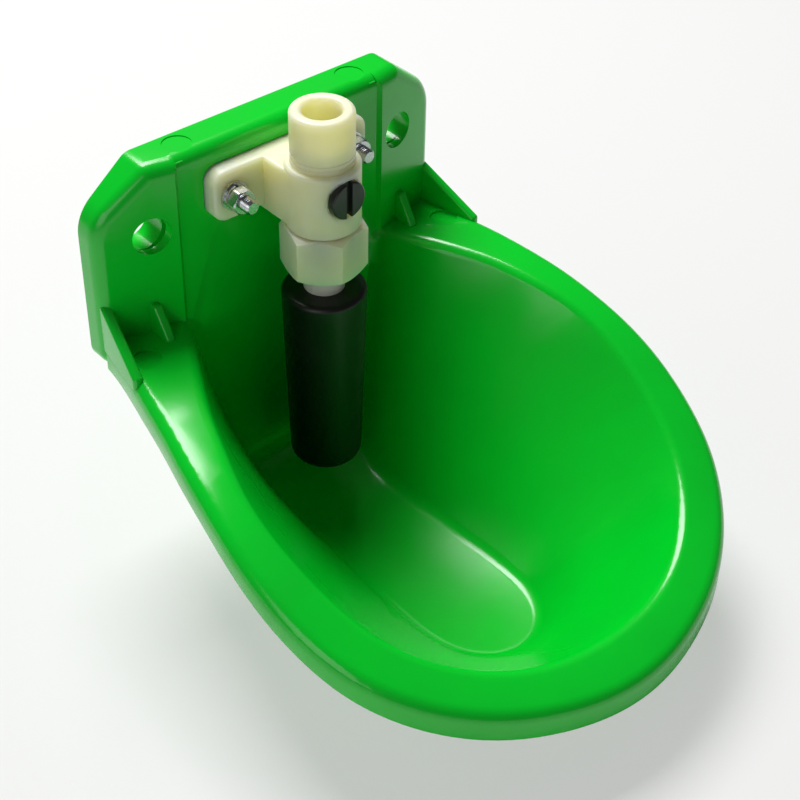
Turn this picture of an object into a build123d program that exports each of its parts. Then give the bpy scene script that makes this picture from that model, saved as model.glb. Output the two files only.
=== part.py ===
from build123d import *
import math
import os

# Livestock drinking bowl with a tilting tube valve, in millimetres, Z up.
# The origin is on the wall plane, midway between the two wall holes.
# The bowl stands out from the wall towards -Y, and the valve hangs in front of its back wall.

# Mounting plate
plate_half_width = 69.5
plate_top = 24.5
plate_top_half = 50.2
plate_shoulder_z = 9.0
plate_bottom = -47.4
ear_front = 15.0
ear_side_front = 8.8
bay_depth = 13.8
bay_half = 42.0
plate_wall = 3.4
plate_top_round = 6.0
plate_shoulder_round = 15.0
plate_bottom_round = 6.0
ear_edge_round = 5.0
bay_edge_round = 4.3
bay_side_slant = 1.5
hole_half_spacing = 50.8
hole_radius = 6.5
hole_boss_wall = 3.2
back_rib_thickness = 2.6
inset_top_share = 0.7
inset_shoulder_share = 0.6
back_rib_step = 3.0
back_rib_short = 1.0

# How far cutting bodies reach past the faces they open
past = 1.0
cut_behind = 5.0
cut_reach = 20.0
cut_front = 40.0
cut_length = 200.0
cut_low = -150.0

# Rim of the bowl, as height against distance from the wall
rim_skirt = 11.5
rim_outer_round = 5.0
rim_lower_round = 1.5
rim_inner_round = 4.5
rim_ceiling = 5.2
rim_skirt_wall = 3.4
rim_seam_depth = 2.6
rim_block_height = 140.0
side_low = -170.0
tub_low = -140.0
rim_profile = [(-5.0, -35.9), (-30.0, -35.9), (-55.0, -38.3), (-75.0, -42.7), (-95.0, -49.3),
               (-115.0, -58.2), (-135.0, -67.9), (-155.0, -76.9), (-175.0, -84.5), (-195.0, -91.0)]
rim_outline = [(69.3, -8.8), (71.4, -20.5), (75.4, -37.4), (78.5, -51.5), (81.9, -66.4),
               (84.5, -81.2), (86.4, -95.5), (86.8, -111.0), (84.8, -126.1), (79.9, -141.3),
               (71.1, -155.5), (59.3, -167.6), (45.3, -177.2), (30.2, -183.9), (15.3, -188.0),
               (0.0, -189.5)]

# Inside of the bowl: its edge at the rim and the same stations on the floor, back to front
bowl_wall = 3.2
wall_lean = 1.22
floor_thickness = 3.5
level_floor = -119.7
basin_back_y = 2.0
basin_top = 10.0
basin_front = -250.0
levels = [-30.0, -50.0, -70.0, -90.0, -108.0, -127.0]
wall_bend = 0.1
back_bend = 0.55
bend_stations = 5
cavity_edge = [(34.0, -4.0), (39.0, -12.5), (46.0, -25.0), (54.0, -39.5), (61.0, -53.0),
               (66.5, -67.5), (71.5, -84.0), (73.0, -101.0), (70.5, -121.0), (62.5, -142.5),
               (49.0, -157.5), (29.0, -169.0), (0.0, -173.6)]
cavity_floor = [(14.0, -4.0), (16.0, -13.0), (17.0, -25.0), (18.0, -38.0), (19.0, -52.0),
                (19.5, -66.0), (20.5, -81.0), (21.0, -95.0), (21.0, -109.0), (18.0, -124.0),
                (13.5, -131.5), (8.0, -136.0), (0.0, -138.0)]
back_draft_y = 1.0
back_draft_z = -40.0
fold_z = -107.6
fold_round = 8.0
slope_end_y = -45.0
slope_round = 60.0
floor_inner_round = 7.0
floor_outer_round = 7.0

# Gusset ribs and ejector marks on the bowl
rib_thickness = 3.6
rib_round = 1.4
rib_root_depth = 3.5
rib_foot_rise = 0.8
inner_rib_x = 52.0
inner_rib_top = -25.2
inner_rib_front = -21.5
outer_rib_back_x = 67.4
outer_rib_front_x = 72.0
outer_rib_back_y = -8.4
outer_rib_front_y = -32.0
outer_rib_top = -21.8
mark_radius = 4.9
mark_depth = 0.35
mark_lean = 0.2
top_mark_x = 34.8
top_mark_y = -6.2
deck_mark_x = 63.6
deck_mark_y = -24.0

# Valve axis and levels
valve_y = -35.3
spigot_radius = 10.5
spigot_top = 37.3
spigot_edge_round = 1.5
ring_groove = 0.3
ring_groove_width = 0.8
ring_groove_z = [20.9, 22.5]
shoulder_z = 19.0
shoulder_round = 1.2
body_radius = 12.35
body_bottom = -4.2
body_bottom_round = 1.4
inlet_radius = 6.3
inlet_bottom = 15.0
throat_radius = 3.2
chamber_top = 5.0
chamber_radius = 6.2
seat_bore = 7.0
skirt_radius = 10.0
skirt_bottom = -10.9
skirt_groove = 0.6
skirt_pitch = 1.6
skirt_groove_top = -6.0

# Valve flange and its web
flange_half = 31.0
flange_thickness = 6.0
flange_top = 17.2
flange_bottom = -1.0
flange_corner = 5.0
flange_edge = 1.2
web_half = 11.8
web_top = 17.2
web_bottom = -3.0

# Bolts that hold the valve to the plate
bolt_half_spacing = 23.7
bolt_z = 7.8
bolt_radius = 2.5
bolt_root_radius = 2.15
bolt_pitch = 0.8
bolt_clearance = 0.3
bolt_seat_y = -5.1
bolt_length = 25.0
bolt_plain = 14.0
head_flats = 8.0
head_height = 3.5
head_pocket_gap = 0.25
head_boss_wall = 2.6
nut_flats = 8.0
nut_height = 4.0
nut_bore_gap = 0.05
hex_chamfer = 0.5
head_corner_cut = 0.35
nut_corner_cut = 0.4
thread_root_share = 0.5
thread_crest_share = 0.9
bolt_tip_chamfer = 0.2
bolt_thread_overlap = 0.5
washer_radius = 5.0
washer_thickness = 1.0
washer_bore_gap = 0.15
lock_radius = 4.4
lock_thickness = 1.2
lock_split = 1.0
lock_split_turn = 25.0
lock_split_short = 1.0

# Regulator screw in the front of the body
regulator_z = 10.0
regulator_head_radius = 6.5
regulator_head_front = 13.3
regulator_head_back = 10.4
regulator_spot = 10.3
regulator_spot_gap = 0.4
regulator_radius = 4.0
regulator_plain_end = 7.2
regulator_thread_end = 4.2
regulator_thread_groove = 0.4
regulator_thread_pitch = 1.25
regulator_tip_radius = 2.6
regulator_tip_end = 1.2
regulator_slot = 2.4
regulator_slot_depth = 1.6
regulator_edge_round = 0.6
running_gap = 0.05
regulator_ring_section = 0.7
regulator_ring_y = 8.8
regulator_thread_overlap = 0.2
regulator_head_overlap = 0.5
regulator_thread_clear = 0.8
regulator_notch = 3.2

# Seat, poppet and spring below the throat
seat_top = -5.4
seat_bottom = -9.4
seat_gap = 0.02
seat_orifice = 2.9
seat_lip = 0.8
seat_lip_wall = 0.8
seat_lip_run = 1.0
ring_slack = 0.2
seat_ring_section = 0.6
seat_ring_z = -7.4
seal_thickness = 1.35
seal_radius = 4.9
seal_gap = 0.05
poppet_thickness = 1.8
poppet_radius = 5.2
stem_radius = 1.5
stem_gap = 0.02
guide_radius = 3.0
guide_height = 1.8
guide_taper = 0.6
stem_chamfer = 0.25
stem_top_gap = 0.1
spring_wire = 0.35
spring_radius = 4.3
spring_turns = 4.0
spring_gap = 0.05
foot_top = -10.35
foot_thickness = 1.6
foot_radius = 6.6
foot_floor = 0.4
foot_round = 0.5
foot_hole = 1.1
foot_hole_circle = 4.2
foot_holes = 6

# Union nut
union_flats = 25.1
union_top = -4.5
union_bottom = -21.2
union_chamfer = 1.9
union_thread_gap = 0.06
union_thread_end = -12.0
union_bore = 9.3
union_bore_end = -15.5
union_hole = 7.9
union_turn = 15.3
union_chamfer_share = 0.8
union_flat_step = 0.4
union_corner_past = 0.2
union_hole_past = 0.5

# Tilting nozzle and push tube
pivot_z = -14.5
ball_radius = 8.6
ball_gap = 0.08
ball_top = -12.0
neck_radius = 6.9
nozzle_bore = 4.4
nozzle_mouth_chamfer = 0.8
shank_length = 17.0
shank_gap = 0.02
barb_depth = 0.3
barb_pitch = 4.0
barbs = 3
neck_overlap = 3.0
tube_top = -29.2
tube_bottom = -102.0
tube_top_radius = 14.4
tube_bottom_radius = 12.4
tube_top_round = 2.0
tube_end_round = 4.5
tube_bore = 6.2
tube_outlet_radius = 8.0
tube_outlet_length = 50.0
tube_outlet_chamfer = 0.8

# Inlet strainer
strainer_gap = 0.1
strainer_top = 25.0
strainer_base = 15.0
strainer_ring = 1.6
strainer_wall = 1.0
strainer_windows = 6
strainer_window_width = 3.0
screen_gap = 0.05
screen_wall = 0.25
screen_hole = 0.35
screen_rows = 5
screen_columns = 16


def half_to_full(points):
    mirrored = [(-x, y) for x, y in reversed(points[:-1])]
    return list(points) + mirrored


def offset_points(points, distance):
    full = half_to_full(points)
    moved = []
    for i in range(len(points)):
        before = full[max(i - 1, 0)]
        after = full[i + 1]
        along = Vector(after[0] - before[0], after[1] - before[1]).normalized()
        moved.append((points[i][0] - along.Y * distance, points[i][1] + along.X * distance))
    moved[-1] = (0.0, moved[-1][1])
    return moved


def outline_face(points, level):
    full = half_to_full(points)
    with BuildSketch(Plane.XY.offset(level)) as sketch:
        with BuildLine():
            Spline(*full)
            Line(full[-1], full[0])
        make_face()
    return sketch.sketch.faces()[0]


def open_face(points, level, back_y):
    # The outline carried straight back past the wall side of the bowl
    full = half_to_full(points)
    start = full[0]
    second = full[1]
    slope = (start[0] - second[0]) / (start[1] - second[1])
    back_x = start[0] + slope * (back_y - start[1])
    with BuildSketch(Plane.XY.offset(level)) as sketch:
        with BuildLine():
            Spline(*full)
            Line(full[-1], (-back_x, back_y))
            Line((-back_x, back_y), (back_x, back_y))
            Line((back_x, back_y), full[0])
        make_face()
    return sketch.sketch.faces()[0]


def side_block(drop, far_z):
    # Everything under the rim line lowered by drop, down to far_z
    line = [(y, z - drop) for y, z in rim_profile]
    with BuildSketch(Plane.YZ) as sketch:
        with BuildLine():
            Spline(*line)
            Polyline(line[-1], (line[-1][0], far_z), (line[0][0], far_z), line[0])
        make_face()
    return extrude(sketch.sketch.faces()[0], 2 * plate_half_width, both=True)


def side_prism(points, half_width):
    # A YZ outline carried both ways along X
    face = make_face(Plane.YZ * Polyline(*points, close=True))
    return extrude(face, half_width, both=True)


def front_prism(points, near_y, far_y):
    # An XZ outline carried from near_y out to far_y
    face = make_face(Plane.XZ.offset(-near_y) * Polyline(*points, close=True))
    return extrude(face, near_y - far_y, dir=(0, -1, 0))


def cylinder_z(radius, low, high, x=0.0, y=valve_y):
    return Pos(x, y, (low + high) / 2) * Cylinder(radius, high - low)


def cylinder_y(radius, near_y, far_y, x, z):
    return Pos(x, (near_y + far_y) / 2, z) * Rot(90, 0, 0) * Cylinder(radius, near_y - far_y)


def hexagon_y(flats, near_y, far_y, x, z):
    face = Plane.XZ.offset(-near_y) * Pos(x, z) * RegularPolygon(flats / 2, 6, major_radius=False)
    return extrude(face, near_y - far_y, dir=(0, -1, 0))


def turned(points, y=valve_y):
    # A radius and height outline turned about the valve axis
    face = make_face(Plane.XZ * Polyline(*points, close=True))
    return Pos(0, y, 0) * revolve(face, Axis.Z)


def cavity_outline(level):
    # Points of the inside at this level, between its edge and the floor
    points = []
    for i, ((edge_x, edge_y), (floor_x, floor_y)) in enumerate(zip(cavity_edge, cavity_floor)):
        high = rim_height(edge_y)
        drop = (high - level) / (high - level_floor)
        bend = wall_bend + (back_bend - wall_bend) * max(0.0, 1.0 - i / bend_stations)
        inside_drop = min(max(drop, 0.0), 1.0)
        share = drop * (1.0 - bend) + bend * (inside_drop ** 2 + 2.0 * max(drop - 1.0, 0.0))
        points.append((edge_x + (floor_x - edge_x) * share, edge_y + (floor_y - edge_y) * share))
    return points


def basin(grow, floor_drop):
    # The inside of the bowl, or with grow its outside, and the side profile that closes it
    faces = [open_face(offset_points(cavity_outline(level), grow * wall_lean), level, basin_back_y)
             for level in levels]
    body = loft(faces)
    back_y = -bay_depth + grow
    floor_z = level_floor - floor_drop
    profile = side_prism([(back_y, basin_top), (back_y, back_draft_z),
                          (back_y - back_draft_y, fold_z - floor_drop), (slope_end_y, floor_z),
                          (basin_front, floor_z), (basin_front, basin_top)], 2 * plate_half_width)
    fold = [e for e in profile.edges().filter_by(Axis.X) if abs(e.center().Z - fold_z + floor_drop) < 0.1]
    profile = fillet(fold, fold_round)
    slope = [e for e in profile.edges().filter_by(Axis.X) if abs(e.center().Y - slope_end_y) < 0.1]
    return body, fillet(slope, slope_round)


def soften_floor(tub, radius):
    # Rounds where the side walls meet the back wall and the floor
    chosen = []
    for edge in tub.edges():
        middle = edge.position_at(0.5)
        straight = edge.geom_type == GeomType.LINE
        if not straight and middle.Z < levels[0] - 1.0:
            chosen.append(edge)
    return fillet(chosen, radius)


def make_rim():
    # Deck and skirt of the rim, still closed over the mouth of the bowl
    block = extrude(outline_face(rim_outline, cut_low), rim_block_height, dir=(0, 0, 1))
    band = block & (side_block(0.0, side_low) - side_block(rim_skirt, side_low - past))
    outer = sorted(band.edges().sort_by(SortBy.LENGTH)[-2:], key=lambda e: e.center().Z)
    band = fillet([outer[1]], rim_outer_round)
    lower = sorted(band.edges().sort_by(SortBy.LENGTH)[-3:], key=lambda e: e.center().Z)
    band = fillet([lower[0]], rim_lower_round)
    under = extrude(outline_face(offset_points(rim_outline, -rim_skirt_wall), cut_low),
                    rim_block_height, dir=(0, 0, 1))
    front_of_plate = Pos(0, -ear_front - cut_length / 2, -cut_length / 2)
    front_of_plate = front_of_plate * Box(cut_length, cut_length, cut_length)
    return band - (under & side_block(rim_ceiling, side_low) & front_of_plate)


def rim_height(y):
    for (near_y, near_z), (far_y, far_z) in zip(rim_profile, rim_profile[1:]):
        if y >= far_y:
            return near_z + (far_z - near_z) * (near_y - y) / (near_y - far_y)
    return rim_profile[-1][1]


def rim_inner_edges(band, inside):
    chosen = []
    for edge in band.edges():
        middle = edge.position_at(0.5)
        level = abs(middle.Z - rim_height(middle.Y)) < 0.6
        if edge.length > 5.0 and level and inside.distance_to(Vertex(*middle)) < 0.01:
            chosen.append(edge)
    return chosen


def plate_outline(inset, bottom):
    top_half = plate_top_half - inset * inset_top_share
    half = plate_half_width - inset
    shoulder = plate_shoulder_z - inset * inset_shoulder_share
    top = plate_top - inset
    return [(-half, bottom), (-half, shoulder), (-top_half, top),
            (top_half, top), (half, shoulder), (half, bottom)]


def make_ears():
    block = front_prism(plate_outline(0.0, plate_bottom), 0.0, -ear_front)
    shoulders = [e for e in block.edges().filter_by(Axis.Y)
                 if abs(e.center().Z - plate_shoulder_z) < 1.0]
    block = fillet(shoulders, plate_shoulder_round)
    tops = [e for e in block.edges().filter_by(Axis.Y) if abs(abs(e.center().X) - plate_top_half) < 0.1]
    block = fillet(tops, plate_top_round)
    feet = [e for e in block.edges().filter_by(Axis.Y)
            if abs(e.center().X) > plate_half_width - 0.1 and e.center().Z < plate_bottom + 0.1]
    block = fillet(feet, plate_bottom_round)
    for side in (-1, 1):
        far_x = plate_half_width + 10.0
        sweep = Polyline((side * bay_half, -ear_front), (side * far_x, swept_front(far_x)),
                         (side * far_x, -cut_front), (side * bay_half, -cut_front), close=True)
        wedge = extrude(make_face(sweep), cut_length, both=True)
        block = block - wedge
    front = []
    for edge in block.edges():
        middle = edge.position_at(0.5)
        on_front = abs(middle.Y - swept_front(abs(middle.X))) < 0.05
        crease = abs(abs(middle.X) - bay_half) < 0.05 and edge.length > 30.0
        if on_front and not crease and middle.Z > plate_bottom + 0.5:
            front.append(edge)
    return fillet(front, ear_edge_round)


def swept_front(x):
    # Front of the plate at this distance from the middle
    if x <= bay_half:
        return -ear_front
    run = (x - bay_half) / (plate_half_width - bay_half)
    return -ear_front + run * (ear_front - ear_side_front)


def make_plate():
    # The two ears and the flatter bay between them
    ears = make_ears()
    foot = bay_half - bay_side_slant
    gap = extrude(make_face(Polyline((-foot, cut_behind), (-foot, -bay_depth), (-bay_half, -ear_front),
                                     (-bay_half, -cut_front), (bay_half, -cut_front),
                                     (bay_half, -ear_front), (foot, -bay_depth), (foot, cut_behind),
                                     close=True)), cut_length, both=True)
    middle = Pos(0, -bay_depth / 2, (plate_top + plate_bottom) / 2)
    middle = middle * Box(2 * foot, bay_depth, plate_top - plate_bottom)
    top_front = [e for e in middle.edges().filter_by(Axis.X)
                 if e.center().Z > plate_top - 0.1 and e.center().Y < -bay_depth + 0.1]
    middle = fillet(top_front, bay_edge_round)
    return (ears - gap) + middle


def hollow_back():
    # Pocket behind the plate, following its front at one wall thickness
    inner = plate_half_width - plate_wall
    foot = bay_half - bay_side_slant
    front_points = [(-inner, past), (-inner, swept_front(inner) + plate_wall),
                    (-bay_half, -ear_front + plate_wall), (-foot, -bay_depth + plate_wall),
                    (foot, -bay_depth + plate_wall), (bay_half, -ear_front + plate_wall),
                    (inner, swept_front(inner) + plate_wall), (inner, past)]
    plan = extrude(make_face(Polyline(*front_points, close=True)), cut_length, both=True)
    face = front_prism(plate_outline(plate_wall, plate_bottom + plate_wall), past, -cut_front)
    return plan & face


def make_shell(inside, outside):
    # Rim and tub as one skin, with the rim's inner edge rounded
    shell = make_rim() + (outside & side_block(rim_seam_depth, tub_low))
    shell = shell - inside
    return fillet(rim_inner_edges(shell, inside), rim_inner_round)


def rounded_rib(points):
    # A rib from its side outline, with its free edges rounded
    face = make_face(Plane.YZ * Polyline(*points, close=True))
    rib = extrude(face, rib_thickness / 2, both=True)
    back = max(y for y, z in points)
    root = min(z for y, z in points)
    free = [e for e in rib.edges() if e.center().Y < back - 0.1 and e.center().Z > root + 0.1]
    return fillet(free, rib_round)


def make_ribs():
    root = rim_height(0.0) - rib_root_depth
    foot = rim_height(0.0) + rib_foot_rise
    inner = rounded_rib([(-bay_depth / 2, inner_rib_top), (-ear_front, inner_rib_top),
                         (inner_rib_front, foot), (inner_rib_front, root),
                         (-bay_depth / 2, root)])
    length = math.hypot(outer_rib_front_x - outer_rib_back_x,
                        outer_rib_front_y - outer_rib_back_y)
    into_ear = ear_edge_round
    outer = rounded_rib([(into_ear, outer_rib_top), (0.0, outer_rib_top), (-length, foot),
                         (-length, root), (into_ear, root)])
    turn = math.degrees(math.atan2(outer_rib_front_x - outer_rib_back_x,
                                   outer_rib_back_y - outer_rib_front_y))
    ribs = []
    for side in (-1, 1):
        ribs.append(Pos(side * inner_rib_x, 0, 0) * inner)
        place = Pos(side * outer_rib_back_x, outer_rib_back_y, 0) * Rot(0, 0, side * turn)
        ribs.append(place * outer)
    return ribs


def make_back_ribs():
    # Upright stiffeners in the hollow back, on both sides of the valve
    ribs = []
    height = plate_top - plate_bottom - plate_wall
    middle = (plate_top + plate_bottom) / 2
    for side in (-1, 1):
        ribs.append(Pos(side * (bay_half - back_rib_step), -bay_depth / 2, middle)
                    * Box(back_rib_thickness, bay_depth - back_rib_short, height))
    return ribs


def cut_plate(plate):
    # Wall holes, bolt holes with their hexagon pockets, and the two ejector marks on top
    tools = []
    for side in (-1, 1):
        tools.append(cylinder_y(hole_radius, cut_behind, -cut_front, side * hole_half_spacing, 0.0))
        x = side * bolt_half_spacing
        tools.append(cylinder_y(bolt_radius + bolt_clearance, cut_behind, -cut_reach, x, bolt_z))
        tools.append(hexagon_y(head_flats + 2 * head_pocket_gap, cut_behind, bolt_seat_y, x, bolt_z))
        tools.append(cylinder_z(mark_radius, plate_top - mark_depth, plate_top + past,
                                side * top_mark_x, top_mark_y))
    for tool in tools:
        plate = plate - tool
    return plate


def make_plate_parts(inside):
    # The hollow plate with its bosses and ribs, clear of the mouth of the bowl
    plate = make_plate() - hollow_back()
    boss = head_flats / 2 / math.cos(math.pi / 6) + head_pocket_gap + head_boss_wall
    for side in (-1, 1):
        x = side * hole_half_spacing
        plate = plate + cylinder_y(hole_radius + hole_boss_wall, 0.0, -ear_side_front, x, 0.0)
        plate = plate + cylinder_y(boss, 0.0, -bay_depth, side * bolt_half_spacing, bolt_z)
    for rib in make_back_ribs() + make_ribs():
        plate = plate + rib
    return cut_plate(plate - inside)


def make_bowl():
    inside_open, inside_back = basin(0.0, 0.0)
    outside_open, outside_back = basin(bowl_wall, floor_thickness)
    inside = soften_floor(inside_open & inside_back, floor_inner_round)
    outside = soften_floor(outside_open & outside_back, floor_outer_round)
    shell = make_shell(inside, outside)
    deck = rim_height(deck_mark_y)
    for side in (-1, 1):
        shell = shell - cylinder_z(mark_radius, deck - mark_depth - mark_lean, deck + 2 * past,
                                   side * deck_mark_x, deck_mark_y)
    return shell + make_plate_parts(inside)


def make_valve_body():
    body = cylinder_z(body_radius, body_bottom, shoulder_z)
    web_length = -valve_y - bay_depth - flange_thickness / 2
    web = Pos(0, valve_y + web_length / 2, (web_bottom + web_top) / 2)
    web = web * Box(2 * web_half, web_length, web_top - web_bottom)
    flange = Pos(0, -bay_depth - flange_thickness / 2, (flange_top + flange_bottom) / 2)
    flange = flange * Box(2 * flange_half, flange_thickness, flange_top - flange_bottom)
    flange = fillet(flange.edges().filter_by(Axis.Y), flange_corner)
    front = flange.faces().sort_by(Axis.Y)[0].edges()
    flange = fillet(front, flange_edge)
    body = fillet(body.edges().filter_by(GeomType.CIRCLE).sort_by(Axis.Z)[-1:], shoulder_round)
    body = fillet(body.edges().filter_by(GeomType.CIRCLE).sort_by(Axis.Z)[:1], body_bottom_round)
    web = fillet(web.edges().filter_by(Axis.Y), shoulder_round)
    spigot = cylinder_z(spigot_radius, shoulder_z - 2 * past, spigot_top)
    spigot = fillet(spigot.edges().filter_by(GeomType.CIRCLE).sort_by(Axis.Z)[-1:], spigot_edge_round)
    skirt = cylinder_z(skirt_radius, skirt_bottom, body_bottom + past)
    body = body + web + flange + spigot + skirt
    for level in ring_groove_z:
        body = body - ring(spigot_radius - ring_groove, spigot_radius + past, level, ring_groove_width)
    level = skirt_groove_top
    while level > skirt_bottom + past:
        body = body - ring(skirt_radius - skirt_groove, skirt_radius + past, level, skirt_pitch / 2)
        level = level - skirt_pitch
    body = body - cylinder_z(inlet_radius, inlet_bottom, spigot_top + past)
    body = body - cylinder_z(throat_radius, 0.0, inlet_bottom + past)
    body = body - cylinder_z(chamber_radius, seat_top - past, chamber_top)
    body = body - cylinder_z(seat_bore, skirt_bottom - past, seat_top)
    rim = [e for e in body.edges().filter_by(GeomType.CIRCLE)
           if abs(e.center().Z - spigot_top) < 0.01 and e.radius < inlet_radius + 0.1]
    body = fillet(rim, spigot_edge_round)
    spot = regulator_head_radius + regulator_spot_gap
    body = body - cylinder_y(spot, valve_y - regulator_spot, valve_y - cut_reach, 0.0, regulator_z)
    body = body - cylinder_y(regulator_radius, valve_y - regulator_thread_end, valve_y - cut_reach,
                             0.0, regulator_z)
    body = body - cylinder_y(regulator_tip_radius + 2 * running_gap, valve_y, valve_y - cut_reach,
                             0.0, regulator_z)
    for x in (-bolt_half_spacing, bolt_half_spacing):
        body = body - cylinder_y(bolt_radius + bolt_clearance, 0.0, -cut_front, x, bolt_z)
    return body


def ring(inner, outer, level, width):
    return cylinder_z(outer, level - width / 2, level + width / 2) - cylinder_z(
        inner, level - width, level + width)


def make_torus_z(radius, section, level):
    return Pos(0, valve_y, level) * Torus(radius, section)


def hexagon_z(flats, low, high, turn):
    face = Plane.XY * RegularPolygon(flats / 2, 6, major_radius=False)
    prism = extrude(face, high - low, dir=(0, 0, 1))
    return Pos(0, valve_y, low) * Rot(0, 0, turn) * prism


def make_union_nut():
    body = hexagon_z(union_flats, union_bottom, union_top, union_turn)
    corner = union_flats / 2 / math.cos(math.pi / 6) + union_corner_past
    flat = union_flats / 2
    rise = union_chamfer * union_chamfer_share
    limit = turned([(0, union_bottom), (flat - union_flat_step, union_bottom), (corner, union_bottom + rise),
                    (corner, union_top - rise), (flat - union_flat_step, union_top), (0, union_top)])
    body = body & limit
    thread = skirt_radius + union_thread_gap
    seat = ball_radius + ball_gap
    seat_end = pivot_z - math.sqrt(seat * seat - union_hole * union_hole)
    body = body - cylinder_z(thread, union_thread_end, union_top + past)
    body = body - cylinder_z(union_bore, union_bore_end, union_thread_end + past)
    body = body - Pos(0, valve_y, pivot_z) * Sphere(seat)
    body = body - cylinder_z(union_hole, union_bottom - past, seat_end + union_hole_past)
    return body


def make_seat_insert():
    lip = seat_orifice + seat_lip_wall
    body = turned([(seat_orifice, seat_bottom), (seat_bore - seat_gap, seat_bottom),
                   (seat_bore - seat_gap, seat_top), (lip + seat_lip_run, seat_top),
                   (lip, seat_top + seat_lip), (seat_orifice, seat_top + seat_lip)])
    groove = seat_bore - 2 * seat_ring_section - 4 * seat_gap
    return body - ring(groove, seat_bore + past, seat_ring_z, 2 * seat_ring_section + ring_slack)


def make_seat_oring():
    return make_torus_z(seat_bore - seat_ring_section - seat_gap, seat_ring_section, seat_ring_z)


def seal_bottom():
    return seat_top + seat_lip + seal_gap


def make_poppet_seal():
    low = seal_bottom()
    return turned([(stem_radius + stem_gap, low), (seal_radius, low),
                   (seal_radius, low + seal_thickness), (stem_radius + stem_gap, low + seal_thickness)])


def make_poppet():
    low = seal_bottom() + seal_thickness
    top = low + poppet_thickness
    body = turned([(0, low), (poppet_radius, low), (poppet_radius, top), (guide_radius, top),
                   (guide_radius - guide_taper, top + guide_height), (0, top + guide_height)])
    return body - cylinder_z(stem_radius + stem_gap, low - past, top)


def make_valve_stem():
    low = foot_top - foot_thickness + foot_floor
    high = seal_bottom() + seal_thickness + poppet_thickness - stem_top_gap
    pin = cylinder_z(stem_radius, low, high)
    return chamfer(pin.edges().filter_by(GeomType.CIRCLE), stem_chamfer)


def make_stem_foot():
    low = foot_top - foot_thickness
    body = cylinder_z(foot_radius, low, foot_top)
    body = fillet(body.edges().filter_by(GeomType.CIRCLE), foot_round)
    body = body - cylinder_z(stem_radius + stem_gap, low + foot_floor, foot_top + past)
    for i in range(foot_holes):
        angle = math.radians(360.0 * i / foot_holes)
        x = foot_hole_circle * math.cos(angle)
        y = valve_y + foot_hole_circle * math.sin(angle)
        body = body - cylinder_z(foot_hole, low - past, foot_top + past, x, y)
    return body


def make_return_spring():
    low = seal_bottom() + seal_thickness + poppet_thickness + spring_gap + spring_wire
    high = chamber_top - spring_gap - spring_wire
    path = Helix(pitch=(high - low) / spring_turns, height=high - low, radius=spring_radius)
    start = Plane(origin=path @ 0, z_dir=path % 0)
    wire = sweep(start * Circle(spring_wire), path=path, is_frenet=True)
    return Pos(0, valve_y, low) * wire


def make_tilt_nozzle():
    ball = Pos(0, valve_y, pivot_z) * Sphere(ball_radius)
    ball = ball & cylinder_z(ball_radius + past, pivot_z - ball_radius, ball_top)
    neck = cylinder_z(neck_radius, tube_top, pivot_z - neck_overlap)
    shank = cylinder_z(tube_bore - shank_gap, tube_top - shank_length, tube_top + past)
    for i in range(barbs):
        level = tube_top - barb_pitch * (i + 1)
        shank = shank - ring(tube_bore - barb_depth, tube_bore + past, level, barb_pitch / 3)
    body = ball + neck + shank
    body = body - cylinder_z(nozzle_bore, tube_top - shank_length - past, ball_top + past)
    mouth = [e for e in body.edges().filter_by(GeomType.CIRCLE)
             if abs(e.center().Z - ball_top) < 0.01 and e.radius < nozzle_bore + 0.1]
    return chamfer(mouth, nozzle_mouth_chamfer)


def make_push_tube():
    body = turned([(0, tube_bottom), (tube_bottom_radius, tube_bottom),
                   (tube_top_radius, tube_top), (0, tube_top)])
    circles = body.edges().filter_by(GeomType.CIRCLE).sort_by(Axis.Z)
    body = fillet(circles[:1], tube_end_round)
    circles = body.edges().filter_by(GeomType.CIRCLE).sort_by(Axis.Z)
    body = fillet(circles[-1:], tube_top_round)
    body = body - cylinder_z(tube_bore, tube_bottom - past, tube_top + past)
    body = body - cylinder_z(tube_outlet_radius, tube_bottom - past, tube_bottom + tube_outlet_length)
    mouth = [e for e in body.edges().filter_by(GeomType.CIRCLE)
             if abs(e.center().Z - tube_bottom) < 0.01 and e.radius < tube_outlet_radius + 0.1]
    return chamfer(mouth, tube_outlet_chamfer)


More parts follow.
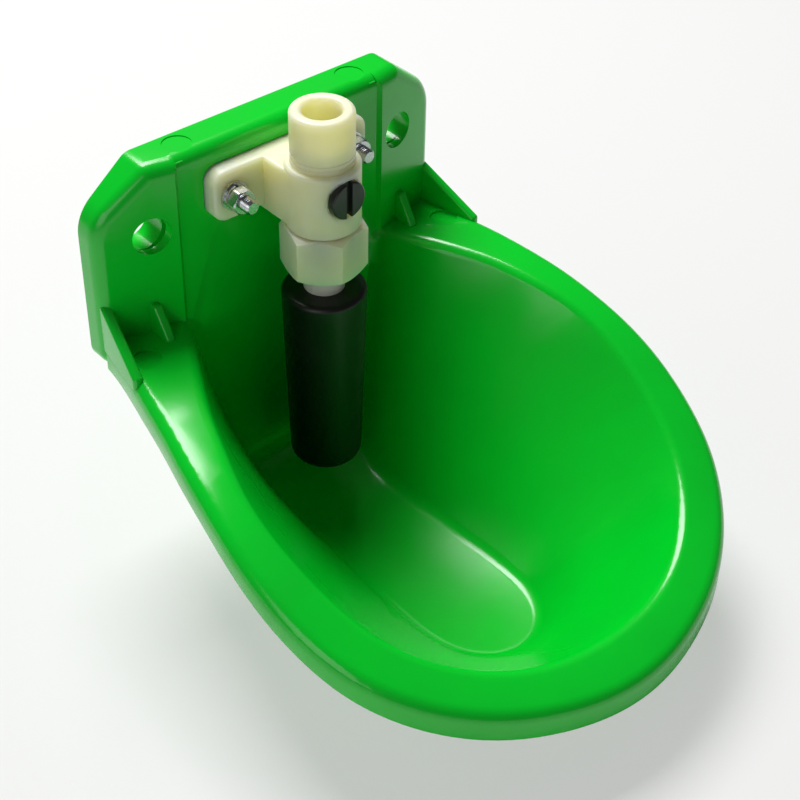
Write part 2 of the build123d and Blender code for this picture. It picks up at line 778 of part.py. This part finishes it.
def make_regulator_screw():
    y0 = valve_y
    head = cylinder_y(regulator_head_radius, y0 - regulator_head_back, y0 - regulator_head_front,
                      0.0, regulator_z)
    front = head.edges().filter_by(GeomType.CIRCLE).sort_by(Axis.Y)[:1]
    head = fillet(front, regulator_edge_round)
    shank_radius = regulator_radius - running_gap
    body = head + cylinder_y(shank_radius, y0 - regulator_thread_end - regulator_thread_overlap,
                             y0 - regulator_head_back - regulator_head_overlap, 0.0,
                             regulator_z)
    body = body + cylinder_y(regulator_tip_radius, y0 - regulator_tip_end,
                             y0 - regulator_thread_end - past, 0.0, regulator_z)
    groove = 2 * regulator_ring_section
    ring_bar = cylinder_y(regulator_radius + past, y0 - regulator_ring_y + groove / 2 + ring_slack / 2,
                          y0 - regulator_ring_y - groove / 2 - ring_slack / 2, 0.0, regulator_z)
    ring_core = cylinder_y(regulator_radius - groove - running_gap, y0, y0 - cut_reach, 0.0, regulator_z)
    body = body - (ring_bar - ring_core)
    level = regulator_plain_end
    while level > regulator_thread_end + regulator_thread_clear:
        cut = cylinder_y(regulator_radius + past, y0 - level + regulator_thread_pitch / 4,
                         y0 - level - regulator_thread_pitch / 4, 0.0, regulator_z)
        core = cylinder_y(shank_radius - regulator_thread_groove, y0, y0 - cut_reach, 0.0, regulator_z)
        body = body - (cut - core)
        level = level - regulator_thread_pitch
    slot = Pos(0, y0 - regulator_head_front, regulator_z)
    slot = slot * Box(regulator_slot, 2 * regulator_slot_depth, 4 * regulator_head_radius)
    notch = Pos(0, y0 - regulator_head_front, regulator_z - regulator_head_radius)
    notch = notch * Box(regulator_slot, cut_reach, regulator_notch)
    notch_end = y0 - regulator_head_back + regulator_head_overlap
    notch = notch & cylinder_y(regulator_head_radius + past, notch_end, y0 - cut_reach, 0.0,
                               regulator_z)
    return body - slot - notch


def make_regulator_oring():
    radius = regulator_radius - regulator_ring_section - seat_gap
    turned_ring = Rot(90, 0, 0) * Torus(radius, regulator_ring_section)
    return Pos(0, valve_y - regulator_ring_y, regulator_z) * turned_ring


def make_strainer_frame():
    outer = inlet_radius - strainer_gap
    inner = outer - strainer_wall
    body = cylinder_z(outer, strainer_base, strainer_top)
    body = body - cylinder_z(inner, strainer_base + strainer_ring, strainer_top + past)
    body = body - cylinder_z(throat_radius, strainer_base - past, strainer_base + strainer_ring + past)
    height = strainer_top - strainer_base - 2 * strainer_ring
    middle = (strainer_top + strainer_base) / 2
    for i in range(strainer_windows):
        turn = 360.0 * i / strainer_windows
        window = Pos(outer, 0, 0) * Box(3 * strainer_wall, strainer_window_width, height)
        body = body - Pos(0, valve_y, middle) * Rot(0, 0, turn) * window
    return body


def make_strainer_screen():
    outer = inlet_radius - strainer_gap - strainer_wall - screen_gap
    inner = outer - screen_wall
    low = strainer_base + strainer_ring
    body = cylinder_z(outer, low, strainer_top) - cylinder_z(inner, low - past, strainer_top + past)
    step = (strainer_top - low) / screen_rows
    for row in range(screen_rows):
        level = low + step * (row + 0.5)
        for i in range(screen_columns // 2):
            turn = 360.0 * (i + 0.5 * (row % 2)) / screen_columns
            bar = Rot(0, 90, 0) * Cylinder(screen_hole, 3 * outer)
            body = body - Pos(0, valve_y, level) * Rot(0, 0, turn) * bar
    return body


def bolt_levels():
    flange_front = -bay_depth - flange_thickness
    washer_front = flange_front - washer_thickness
    lock_front = washer_front - lock_thickness
    nut_front = lock_front - nut_height
    return flange_front, washer_front, lock_front, nut_front


def make_bolt(x):
    tip = bolt_seat_y - bolt_length
    head = hexagon_y(head_flats, bolt_seat_y + head_height, bolt_seat_y, x, bolt_z)
    limit = cylinder_y(head_flats / 2 + head_corner_cut, bolt_seat_y + head_height, bolt_seat_y, x, bolt_z)
    limit = chamfer(limit.edges().filter_by(GeomType.CIRCLE).sort_by(Axis.Y)[-1:], hex_chamfer)
    plain = bolt_seat_y - bolt_plain
    shank = cylinder_y(bolt_radius, bolt_seat_y + past, plain, x, bolt_z)
    count = int((bolt_length - bolt_plain) / bolt_pitch)
    outline = [(0.0, plain + bolt_thread_overlap)]
    outline.append((bolt_radius, plain + bolt_thread_overlap))
    for i in range(count):
        start = plain - i * bolt_pitch
        outline.append((bolt_radius, start))
        outline.append((bolt_root_radius, start - bolt_pitch * thread_root_share))
        outline.append((bolt_radius, start - bolt_pitch * thread_crest_share))
    outline.append((bolt_root_radius, tip + bolt_tip_chamfer))
    outline.append((bolt_root_radius - bolt_tip_chamfer, tip))
    outline.append((0.0, tip))
    face = make_face(Polyline(*outline, close=True))
    thread = Pos(x, 0, bolt_z) * revolve(face, Axis.Y)
    return (head & limit) + shank + thread


def make_nut(x):
    flange_front, washer_front, lock_front, nut_front = bolt_levels()
    body = hexagon_y(nut_flats, lock_front, nut_front, x, bolt_z)
    limit = cylinder_y(nut_flats / 2 + nut_corner_cut, lock_front, nut_front, x, bolt_z)
    limit = chamfer(limit.edges().filter_by(GeomType.CIRCLE), hex_chamfer)
    return (body & limit) - cylinder_y(bolt_radius + nut_bore_gap, 0.0, -cut_front, x, bolt_z)


def make_washer(x):
    flange_front, washer_front, lock_front, nut_front = bolt_levels()
    body = cylinder_y(washer_radius, flange_front, washer_front, x, bolt_z)
    return body - cylinder_y(bolt_radius + washer_bore_gap, 0.0, -cut_front, x, bolt_z)


def make_lock_washer(x):
    flange_front, washer_front, lock_front, nut_front = bolt_levels()
    body = cylinder_y(lock_radius, washer_front, lock_front, x, bolt_z)
    body = body - cylinder_y(bolt_radius + washer_bore_gap, 0.0, -cut_front, x, bolt_z)
    split = Pos(x, (washer_front + lock_front) / 2, bolt_z + lock_radius)
    return body - split * Rot(0, lock_split_turn, 0) * Box(
        lock_split, 3 * lock_thickness, 2 * lock_radius - lock_split_short)


def both_bolts(maker):
    return Compound(children=[maker(-bolt_half_spacing), maker(bolt_half_spacing)])


def main():
    os.makedirs("parts", exist_ok=True)
    pieces = {
        "bowl": make_bowl(),
        "valve_body": make_valve_body(),
        "union_nut": make_union_nut(),
        "strainer_frame": make_strainer_frame(),
        "strainer_screen": make_strainer_screen(),
        "seat_insert": make_seat_insert(),
        "seat_oring": make_seat_oring(),
        "poppet": make_poppet(),
        "poppet_seal": make_poppet_seal(),
        "valve_stem": make_valve_stem(),
        "stem_foot": make_stem_foot(),
        "return_spring": make_return_spring(),
        "tilt_nozzle": make_tilt_nozzle(),
        "push_tube": make_push_tube(),
        "regulator_screw": make_regulator_screw(),
        "regulator_oring": make_regulator_oring(),
        "mount_bolts": both_bolts(make_bolt),
        "bolt_nuts": both_bolts(make_nut),
        "bolt_washers": both_bolts(make_washer),
        "bolt_lock_washers": both_bolts(make_lock_washer),
    }
    for name, piece in pieces.items():
        box = piece.bounding_box()
        print(name, len(piece.solids()), round(piece.volume, 1), piece.is_valid, box)
        export_step(piece, os.path.join("parts", name + ".step"))


if __name__ == "__main__":
    main()
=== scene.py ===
import math

import bmesh
import bpy
from mathutils import Matrix, Vector


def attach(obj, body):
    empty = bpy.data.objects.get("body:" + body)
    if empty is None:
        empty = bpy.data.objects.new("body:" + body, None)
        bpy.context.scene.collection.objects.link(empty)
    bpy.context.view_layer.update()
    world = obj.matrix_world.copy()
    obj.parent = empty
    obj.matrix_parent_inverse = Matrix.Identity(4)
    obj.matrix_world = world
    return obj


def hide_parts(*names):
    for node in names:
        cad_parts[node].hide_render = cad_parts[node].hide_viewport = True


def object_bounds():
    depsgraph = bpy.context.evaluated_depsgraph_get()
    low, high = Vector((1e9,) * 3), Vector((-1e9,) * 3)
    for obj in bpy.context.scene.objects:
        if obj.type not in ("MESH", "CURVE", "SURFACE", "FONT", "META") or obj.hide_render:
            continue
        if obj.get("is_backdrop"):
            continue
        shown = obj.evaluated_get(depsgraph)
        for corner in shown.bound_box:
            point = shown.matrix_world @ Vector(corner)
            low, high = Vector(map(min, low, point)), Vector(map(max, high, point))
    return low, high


bl_info = {
    "name": "Livestock drinking bowl",
    "version": (1, 0, 0),
    "blender": (4, 5, 0),
    "location": "View3D > Sidebar > Drinking Bowl",
    "description": "Dresses the packed drinking bowl and sets its studio",
    "category": "Object",
}

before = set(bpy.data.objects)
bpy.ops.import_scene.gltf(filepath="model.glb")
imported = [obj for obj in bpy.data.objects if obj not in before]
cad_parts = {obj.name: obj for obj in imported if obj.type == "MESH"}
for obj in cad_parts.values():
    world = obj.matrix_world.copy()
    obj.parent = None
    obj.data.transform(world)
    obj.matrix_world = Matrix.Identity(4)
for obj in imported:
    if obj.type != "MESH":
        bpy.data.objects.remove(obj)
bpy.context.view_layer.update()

MM = 0.001
SMOOTH_ANGLE = math.radians(32.0)

# The photograph's camera, in the part's own frame
CAMERA_EYE = (-294.69 * MM, -404.76 * MM, 312.82 * MM)
CAMERA_HEADING = math.radians(-41.72)
CAMERA_ELEVATION = math.radians(39.66)
CAMERA_ROLL = math.radians(1.26)
FOCAL_PIXELS = 1756.0
IMAGE_PIXELS = 800.0

# The studio: a large soft lamp above and behind, and a small low one from the left for the valve
LAMP_TOP_PLACE = (140.0 * MM, 560.0 * MM, 1150.0 * MM)
LAMP_TOP_AIM = (0.0, -100.0 * MM, -80.0 * MM)
LAMP_TOP_SIZE = 700.0 * MM
LAMP_SIDE_PLACE = (-800.0 * MM, -450.0 * MM, 280.0 * MM)
LAMP_SIDE_AIM = (0.0, -50.0 * MM, 0.0)
LAMP_SIDE_SIZE = 500.0 * MM
FLOOR_HALF = 3000.0 * MM


class StudioSettings(bpy.types.PropertyGroup):
    """Light and background of the picture"""

    top_power: bpy.props.FloatProperty(
        name="Top lamp", description="Power of the large lamp above and behind the bowl",
        default=25.0, min=0.0, unit="POWER")
    side_power: bpy.props.FloatProperty(
        name="Side lamp", description="Power of the low lamp to the left of the bowl",
        default=1.4, min=0.0, unit="POWER")
    fill: bpy.props.FloatProperty(
        name="Fill", description="Strength of the even light from all round",
        default=0.08, min=0.0)
    floor_colour: bpy.props.FloatVectorProperty(
        name="Floor", description="Colour of the floor and the background",
        subtype="COLOR", size=3, default=(0.86, 0.86, 0.853), min=0.0, max=1.0)
    floor_glow: bpy.props.FloatProperty(
        name="Floor glow", description="Part of the floor's brightness that shadows don't darken",
        default=0.56, min=0.0, max=1.0, subtype="FACTOR")


class FinishSettings(bpy.types.PropertyGroup):
    """Colours of the bowl and its valve"""

    bowl: bpy.props.StringProperty(
        name="Bowl", description="Colour of the green plastic, as a hex value", default="02CE2B")
    bowl_deep: bpy.props.StringProperty(
        name="Bowl, denser", description="Colour where the green pigment is denser", default="02BB27")
    valve: bpy.props.StringProperty(
        name="Valve", description="Colour of the unpigmented plastic, as a hex value", default="FDF4CE")
    valve_warm: bpy.props.StringProperty(
        name="Valve, thick", description="Colour of the unpigmented plastic where it is thick",
        default="F3E7AE")
    rubber: bpy.props.StringProperty(
        name="Tube", description="Colour of the push tube's rubber", default="050606")


def linear(hex_value):
    channels = [int(hex_value[i:i + 2], 16) / 255 for i in (0, 2, 4)]
    values = [c / 12.92 if c <= 0.04045 else ((c + 0.055) / 1.055) ** 2.4 for c in channels]
    return values + [1.0]


def add(tree, kind, settings=None, inputs=None):
    """Adds a node with its settings. An input is a value or the output that feeds it."""
    node = tree.nodes.new(kind)
    for key, value in (settings or {}).items():
        setattr(node, key, value)
    for key, value in (inputs or {}).items():
        if isinstance(value, bpy.types.NodeSocket):
            tree.links.new(value, node.inputs[key])
        else:
            node.inputs[key].default_value = value
    return node


def new_material(name):
    material = bpy.data.materials.new(name)
    material.use_nodes = True
    material.node_tree.nodes.clear()
    return material, material.node_tree


def per_metre(size_mm):
    # Noise scale whose features are about this size
    return 1.0 / (size_mm * MM)


def moulded(name, colours, cloud_mm, roughness, grain_mm, grain_depth_mm, **shader_values):
    """Injection-moulded plastic: clouded colour, uneven polish and a faint skin texture."""
    material, tree = new_material(name)
    place = add(tree, "ShaderNodeTexCoord").outputs["Object"]
    cloud = add(tree, "ShaderNodeTexNoise", {},
                {"Vector": place, "Scale": per_metre(cloud_mm), "Detail": 3.0})
    mix = add(tree, "ShaderNodeMix", {"data_type": "RGBA"},
              {"Factor": cloud.outputs["Fac"], "A": linear(colours[0]), "B": linear(colours[1])})
    polish = add(tree, "ShaderNodeMapRange", {},
                 {"Value": cloud.outputs["Fac"], "From Min": 0.3, "From Max": 0.7,
                  "To Min": roughness * 0.85, "To Max": roughness * 1.2})
    grain = add(tree, "ShaderNodeTexNoise", {},
                {"Vector": place, "Scale": per_metre(grain_mm), "Detail": 2.0})
    bump = add(tree, "ShaderNodeBump", {},
               {"Height": grain.outputs["Fac"], "Distance": grain_depth_mm * MM, "Strength": 1.0})
    shader = add(tree, "ShaderNodeBsdfPrincipled", {},
                 {"Base Color": mix.outputs["Result"], "Roughness": polish.outputs["Result"],
                  "Normal": bump.outputs["Normal"], **shader_values})
    add(tree, "ShaderNodeOutputMaterial", {}, {"Surface": shader.outputs["BSDF"]})
    return material


def plated(name, colour, roughness, scratch_mm, scratch_depth_mm):
    """Zinc plating or drawn steel: even metal with fine lines along the turning direction."""
    material, tree = new_material(name)
    place = add(tree, "ShaderNodeTexCoord").outputs["Object"]
    stretch = add(tree, "ShaderNodeMapping", {}, {"Vector": place, "Scale": (1.0, 6.0, 1.0)})
    lines = add(tree, "ShaderNodeTexNoise", {},
                {"Vector": stretch.outputs["Vector"], "Scale": per_metre(scratch_mm), "Detail": 4.0})
    polish = add(tree, "ShaderNodeMapRange", {},
                 {"Value": lines.outputs["Fac"], "From Min": 0.35, "From Max": 0.65,
                  "To Min": roughness * 0.7, "To Max": roughness * 1.4})
    tone = add(tree, "ShaderNodeMix", {"data_type": "RGBA"},
               {"Factor": lines.outputs["Fac"], "A": linear(colour), "B": linear("A9ADB0")})
    bump = add(tree, "ShaderNodeBump", {},
               {"Height": lines.outputs["Fac"], "Distance": scratch_depth_mm * MM, "Strength": 1.0})
    shader = add(tree, "ShaderNodeBsdfPrincipled", {},
                 {"Base Color": tone.outputs["Result"], "Metallic": 1.0,
                  "Roughness": polish.outputs["Result"], "Normal": bump.outputs["Normal"]})
    add(tree, "ShaderNodeOutputMaterial", {}, {"Surface": shader.outputs["BSDF"]})
    return material


def bowl_plastic():
    # Glossy moulded polypropylene, pigmented green: wet-looking highlights over a slightly clouded colour
    finish = bpy.context.scene.bowl_finish
    return moulded("polypropylene moulded green", (finish.bowl, finish.bowl_deep), 26.0, 0.19, 5.0, 0.02,
                   **{"IOR": 1.49, "Specular IOR Level": 0.5})


def valve_plastic():
    # Unpigmented moulded nylon: creamy, with light going some way in and edges that glow
    finish = bpy.context.scene.bowl_finish
    return moulded("nylon moulded natural", (finish.valve, finish.valve_warm), 9.0, 0.38, 0.9, 0.012,
                   **{"IOR": 1.53, "Subsurface Weight": 1.0, "Subsurface Scale": 0.014,
                      "Subsurface Radius": (1.0, 0.9, 0.55)})


def neck_plastic():
    # Moulded acetal: greyer and harder looking than the nylon above it
    return moulded("acetal moulded white", ("D9D8CF", "C9C8BD"), 7.0, 0.42, 0.8, 0.01,
                   **{"IOR": 1.48, "Subsurface Weight": 0.2, "Subsurface Scale": 0.002})


def tube_rubber():
    # Moulded black rubber: almost no colour of its own, with a soft dull sheen
    finish = bpy.context.scene.bowl_finish
    return moulded("EPDM rubber moulded black", (finish.rubber, "0B0C0C"), 12.0, 0.4, 0.7, 0.02,
                   **{"IOR": 1.5})


def screw_plastic():
    # Moulded black nylon: darker than the rubber, with a sharper edge light
    return moulded("nylon moulded black", ("101111", "181919"), 5.0, 0.36, 0.6, 0.015, **{"IOR": 1.53})


def seal_rubber():
    # Nitrile rubber of the seals: dull black
    return moulded("nitrile rubber black", ("101010", "1A1A1A"), 3.0, 0.6, 0.4, 0.01, **{"IOR": 1.52})


def zinc():
    # Bright zinc plating on the bolts: pale grey metal with a bluish cast
    return plated("zinc plated steel", "D3D6D8", 0.24, 0.6, 0.008)


def stainless():
    # Turned stainless steel inside the valve: darker and smoother than the zinc
    return plated("stainless steel turned", "C4C3C0", 0.2, 0.4, 0.005)


def smoothed(mesh):
    """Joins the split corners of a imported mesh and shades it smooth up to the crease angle."""
    work = bmesh.new()
    work.from_mesh(mesh)
    bmesh.ops.remove_doubles(work, verts=work.verts, dist=0.002 * MM)
    for face in work.faces:
        face.smooth = True
    for edge in work.edges:
        edge.smooth = len(edge.link_faces) == 2 and edge.calc_face_angle(0.0) < SMOOTH_ANGLE
    work.to_mesh(mesh)
    work.free()
    mesh.update()


def dressed_copy(node, name, body, material):
    """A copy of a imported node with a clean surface, which stands for the node."""
    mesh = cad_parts[node].data.copy()
    mesh.name = name
    if mesh.has_custom_normals:
        mesh.attributes.remove(mesh.attributes["custom_normal"])
    smoothed(mesh)
    mesh.materials.clear()
    mesh.materials.append(material)
    piece = bpy.data.objects.new(name, mesh)
    bpy.context.scene.collection.objects.link(piece)
    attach(piece, body)
    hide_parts(node)
    return piece


class BOWL_OT_stage(bpy.types.Operator):
    """Floor, background, lamps and the photograph's camera"""

    bl_idname = "bowl.stage"
    bl_label = "Studio"

    def execute(self, context):
        settings = context.scene.bowl_studio
        scene = context.scene
        scene.view_settings.view_transform = "Standard"
        self.add_floor(scene, settings)
        self.add_world(scene, settings)
        self.add_lamp(scene, "lamp_top", LAMP_TOP_PLACE, LAMP_TOP_AIM, LAMP_TOP_SIZE,
                      settings.top_power)
        self.add_lamp(scene, "lamp_side", LAMP_SIDE_PLACE, LAMP_SIDE_AIM, LAMP_SIDE_SIZE,
                      settings.side_power)
        self.add_camera(scene)
        return {"FINISHED"}

    def add_floor(self, scene, settings):
        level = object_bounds()[0][2]
        half = FLOOR_HALF
        mesh = bpy.data.meshes.new("floor")
        corners = [(-half, -half, level), (half, -half, level), (half, half, level), (-half, half, level)]
        mesh.from_pydata(corners, [], [(0, 1, 2, 3)])
        floor = bpy.data.objects.new("floor", mesh)
        scene.collection.objects.link(floor)
        material, tree = new_material("paper sweep white")
        colour = list(settings.floor_colour) + [1.0]
        diffuse = add(tree, "ShaderNodeBsdfDiffuse", {}, {"Color": colour})
        glow = add(tree, "ShaderNodeEmission", {}, {"Color": colour, "Strength": 1.0})
        blend = add(tree, "ShaderNodeMixShader", {},
                    {0: settings.floor_glow, 1: diffuse.outputs["BSDF"], 2: glow.outputs["Emission"]})
        path = add(tree, "ShaderNodeLightPath")
        seen = add(tree, "ShaderNodeMixShader", {},
                   {0: path.outputs["Is Camera Ray"], 1: diffuse.outputs["BSDF"], 2: blend.outputs["Shader"]})
        add(tree, "ShaderNodeOutputMaterial", {}, {"Surface": seen.outputs["Shader"]})
        mesh.materials.append(material)
        floor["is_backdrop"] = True

    def add_world(self, scene, settings):
        world = bpy.data.worlds.new("studio")
        world.use_nodes = True
        tree = world.node_tree
        tree.nodes.clear()
        path = add(tree, "ShaderNodeLightPath")
        shown = add(tree, "ShaderNodeBackground", {},
                    {"Color": list(settings.floor_colour) + [1.0], "Strength": 1.0})
        even = add(tree, "ShaderNodeBackground", {},
                   {"Color": (1.0, 1.0, 1.0, 1.0), "Strength": settings.fill})
        pick = add(tree, "ShaderNodeMixShader", {},
                   {0: path.outputs["Is Camera Ray"], 1: even.outputs["Background"],
                    2: shown.outputs["Background"]})
        add(tree, "ShaderNodeOutputWorld", {}, {"Surface": pick.outputs["Shader"]})
        scene.world = world

    def add_lamp(self, scene, name, place, aim, size, power):
        data = bpy.data.lights.new(name, "AREA")
        data.shape = "SQUARE"
        data.size = size
        data.energy = power
        lamp = bpy.data.objects.new(name, data)
        lamp.location = place
        lamp.rotation_euler = (Vector(aim) - Vector(place)).to_track_quat("-Z", "Y").to_euler()
        scene.collection.objects.link(lamp)

    def add_camera(self, scene):
        data = bpy.data.cameras.new("camera")
        data.sensor_width = 36.0
        data.lens = FOCAL_PIXELS / IMAGE_PIXELS * data.sensor_width
        camera = bpy.data.objects.new("camera", data)
        back = Vector((math.sin(CAMERA_HEADING) * math.cos(CAMERA_ELEVATION),
                       -math.cos(CAMERA_HEADING) * math.cos(CAMERA_ELEVATION),
                       math.sin(CAMERA_ELEVATION)))
        right = (-back).cross(Vector((0.0, 0.0, 1.0))).normalized()
        up = right.cross(-back)
        turned_right = math.cos(CAMERA_ROLL) * right + math.sin(CAMERA_ROLL) * up
        turned_up = -math.sin(CAMERA_ROLL) * right + math.cos(CAMERA_ROLL) * up
        turn = Matrix((turned_right, turned_up, back)).transposed().to_4x4()
        camera.matrix_world = Matrix.Translation(CAMERA_EYE) @ turn
        scene.collection.objects.link(camera)
        scene.camera = camera


class BOWL_OT_bowl(bpy.types.Operator):
    """The green bowl with its back plate"""

    bl_idname = "bowl.bowl"
    bl_label = "Bowl"

    def execute(self, context):
        dressed_copy("bowl", "bowl_shell", "bowl_and_valve", bowl_plastic())
        return {"FINISHED"}


class BOWL_OT_valve(bpy.types.Operator):
    """The valve body and the union nut"""

    bl_idname = "bowl.valve"
    bl_label = "Valve"

    def execute(self, context):
        plastic = valve_plastic()
        dressed_copy("valve_body", "valve_casting", "bowl_and_valve", plastic)
        dressed_copy("union_nut", "valve_union_nut", "bowl_and_valve", plastic)
        return {"FINISHED"}


class BOWL_OT_tube(bpy.types.Operator):
    """The tilting neck and the tube that the animal pushes"""

    bl_idname = "bowl.tube"
    bl_label = "Push tube"

    def execute(self, context):
        dressed_copy("tilt_nozzle", "tube_neck", "hanging_tube", neck_plastic())
        dressed_copy("push_tube", "tube_sleeve", "hanging_tube", tube_rubber())
        return {"FINISHED"}


class BOWL_OT_regulator(bpy.types.Operator):
    """The flow regulator's screw and its ring"""

    bl_idname = "bowl.regulator"
    bl_label = "Regulator"

    def execute(self, context):
        dressed_copy("regulator_screw", "regulator_slotted_screw", "regulator",
                     screw_plastic())
        dressed_copy("regulator_oring", "regulator_ring", "regulator", seal_rubber())
        return {"FINISHED"}


class BOWL_OT_fasteners(bpy.types.Operator):
    """Bolts, nuts and washers that hold the valve to the plate"""

    bl_idname = "bowl.fasteners"
    bl_label = "Fasteners"

    def execute(self, context):
        metal = zinc()
        slots = {"mount_bolts": "bolt_steel", "bolt_nuts": "nut_steel", "bolt_washers": "washer_steel",
                 "bolt_lock_washers": "lock_washer_steel"}
        for node, slot in slots.items():
            dressed_copy(node, node + "_plated", "bowl_and_valve", metal)
        return {"FINISHED"}


class BOWL_OT_internals(bpy.types.Operator):
    """Strainer, seat, poppet and spring inside the valve"""

    bl_idname = "bowl.internals"
    bl_label = "Inner parts"

    def execute(self, context):
        plastic = neck_plastic()
        metal = stainless()
        rubber = seal_rubber()
        pieces = [("strainer_frame", "bowl_and_valve", "strainer_plastic", plastic),
                  ("strainer_screen", "bowl_and_valve", "screen_steel", metal),
                  ("seat_insert", "bowl_and_valve", "seat_plastic", plastic),
                  ("seat_oring", "bowl_and_valve", "seat_ring_rubber", rubber),
                  ("return_spring", "bowl_and_valve", "spring_steel", metal),
                  ("poppet", "poppet_group", "poppet_plastic", plastic),
                  ("poppet_seal", "poppet_group", "seal_rubber", rubber),
                  ("valve_stem", "poppet_group", "stem_steel", metal),
                  ("stem_foot", "poppet_group", "foot_plastic", plastic)]
        for node, body, slot, material in pieces:
            dressed_copy(node, node + "_inner", body, material)
        return {"FINISHED"}


class BOWL_PT_panel(bpy.types.Panel):
    """Lists the pieces and their settings"""

    bl_idname = "BOWL_PT_panel"
    bl_label = "Drinking bowl"
    bl_space_type = "VIEW_3D"
    bl_region_type = "UI"
    bl_category = "Drinking Bowl"

    def draw(self, context):
        for group in (context.scene.bowl_studio, context.scene.bowl_finish):
            for name in group.__annotations__:
                self.layout.prop(group, name)
        for operator in OPERATORS:
            self.layout.operator(operator.bl_idname)


OPERATORS = (BOWL_OT_stage, BOWL_OT_bowl, BOWL_OT_valve, BOWL_OT_tube, BOWL_OT_regulator,
             BOWL_OT_fasteners, BOWL_OT_internals)
CLASSES = (StudioSettings, FinishSettings) + OPERATORS + (BOWL_PT_panel,)


def register():
    for item in CLASSES:
        bpy.utils.register_class(item)
    bpy.types.Scene.bowl_studio = bpy.props.PointerProperty(type=StudioSettings)
    bpy.types.Scene.bowl_finish = bpy.props.PointerProperty(type=FinishSettings)


def unregister():
    del bpy.types.Scene.bowl_finish
    del bpy.types.Scene.bowl_studio
    for item in reversed(CLASSES):
        bpy.utils.unregister_class(item)


def main():
    register()
    bpy.ops.bowl.stage()
    bpy.ops.bowl.bowl()
    bpy.ops.bowl.valve()
    bpy.ops.bowl.tube()
    bpy.ops.bowl.regulator()
    bpy.ops.bowl.fasteners()
    bpy.ops.bowl.internals()


if __name__ == "__main__":
    main()
